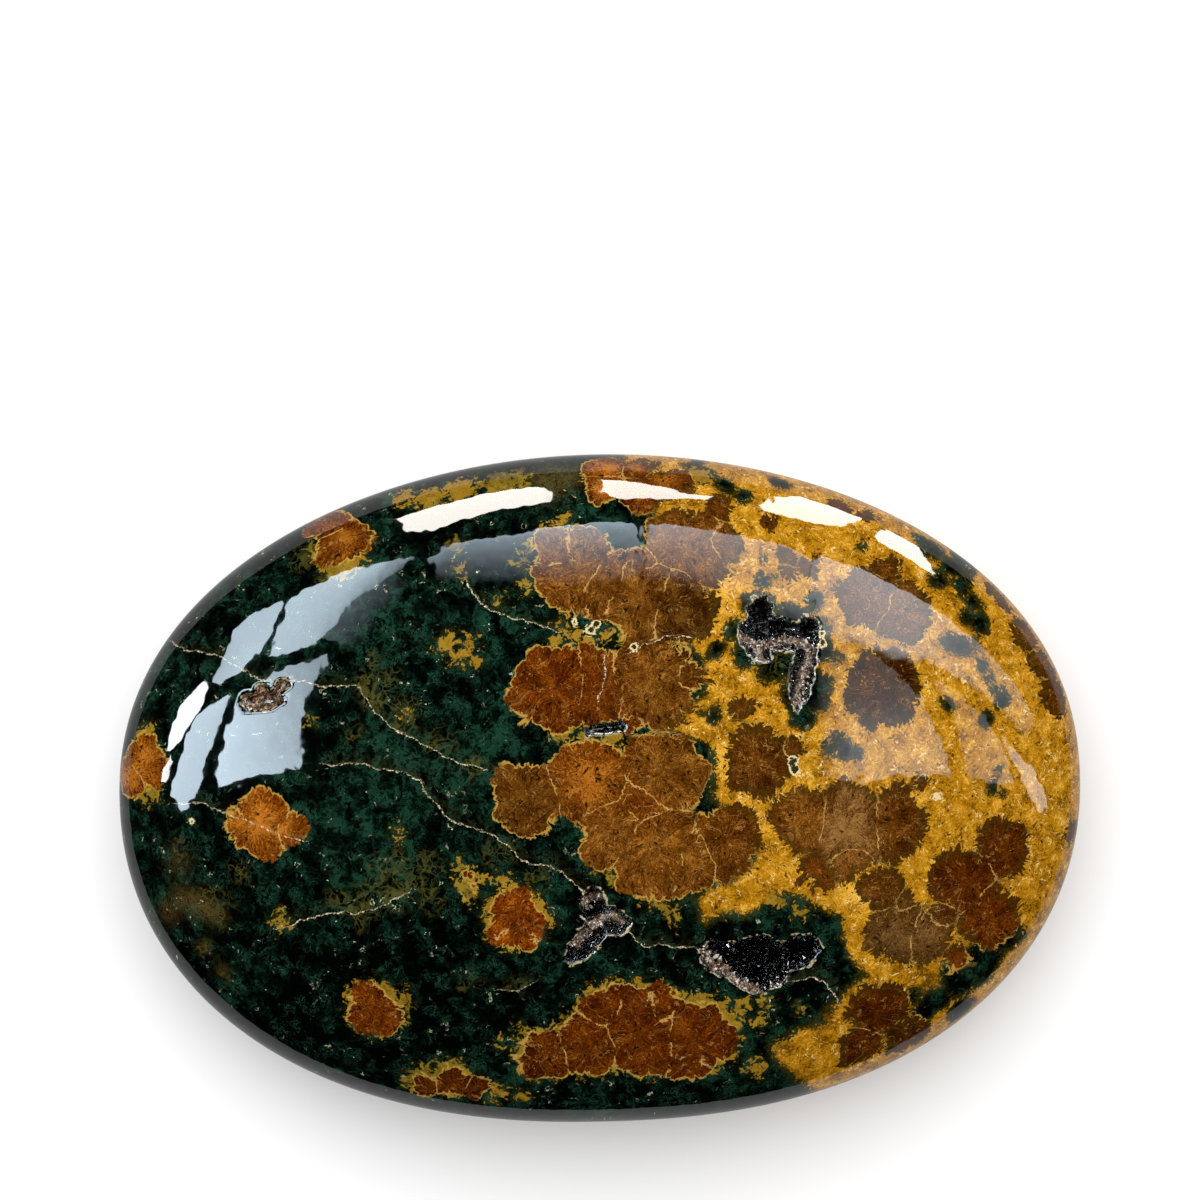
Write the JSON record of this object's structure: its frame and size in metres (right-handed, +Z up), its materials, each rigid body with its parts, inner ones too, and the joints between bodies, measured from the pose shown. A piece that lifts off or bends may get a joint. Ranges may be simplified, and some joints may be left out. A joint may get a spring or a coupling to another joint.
{
  "type": "ocean jasper palm stone",
  "caption": "Smooth oval pebble of orbicular jasper, polished all over, with small open hollows in its top lined with quartz points; it rests on its rounded underside.",
  "frame": {"origin": "middle of the small flat spot on the underside, at the bottom of the bounding box", "axes": "+X along the stone's long axis, +Y towards the long side that is more pointed, +Z up through the side with the open hollows"},
  "size_m": [0.07, 0.0486, 0.019],
  "materials": {
    "jasper": "high polish, dark green moss jasper with rust-brown orbs in a mustard matrix, crossed by thin cream veins",
    "quartz": "bright natural crystal faces, colourless to milky, on a cream and grey skin"
  },
  "bodies": {
    "root": {"stone": "jasper", "quartz_crust_upper": "quartz", "quartz_crust_lower": "quartz", "quartz_crust_middle": "quartz"}
  },
  "joints": []
}
